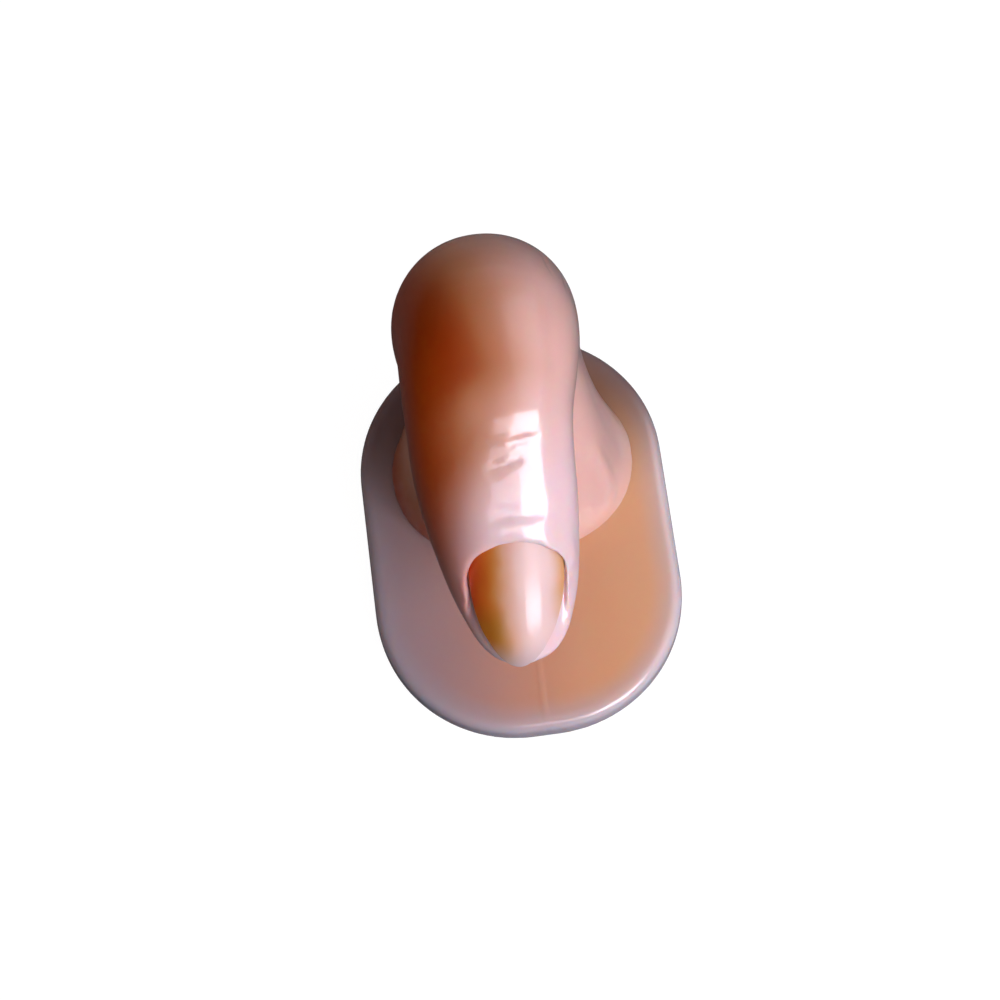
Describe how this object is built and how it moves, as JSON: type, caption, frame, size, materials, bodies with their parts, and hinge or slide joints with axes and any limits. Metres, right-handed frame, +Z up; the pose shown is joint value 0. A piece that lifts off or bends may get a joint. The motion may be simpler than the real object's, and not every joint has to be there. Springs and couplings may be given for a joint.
{
  "type": "nail practice finger",
  "caption": "Bent soft practice finger standing on an oval pad, with a curved nail tip that slides out of its bed along the fingertip.",
  "frame": {"origin": "middle of the pad's underside, on the surface it stands on", "axes": "+Z up, -Y towards the fingertip along the pad's length, +X across the pad to the finger's right as the nail is looked at"},
  "size_m": [0.04, 0.055, 0.05],
  "materials": {
    "pad_pvc": "glossy translucent soft PVC, pink-tan, paler and milky at the rim",
    "skin_pvc": "glossy flesh-coloured soft PVC",
    "core_abs": "plain moulded ABS",
    "nail_abs": "natural, slightly translucent, high gloss"
  },
  "bodies": {
    "finger": {"base_plate": "pad_pvc", "finger_skin": "skin_pvc", "finger_core": "core_abs"},
    "nail": {"nail_tip": "nail_abs"}
  },
  "joints": [
    {"name": "nail_pull", "type": "slide", "parent": "finger", "child": "nail", "axis": [-0.0958, -0.862, -0.4977], "range_m": [0, 0.022]}
  ]
}
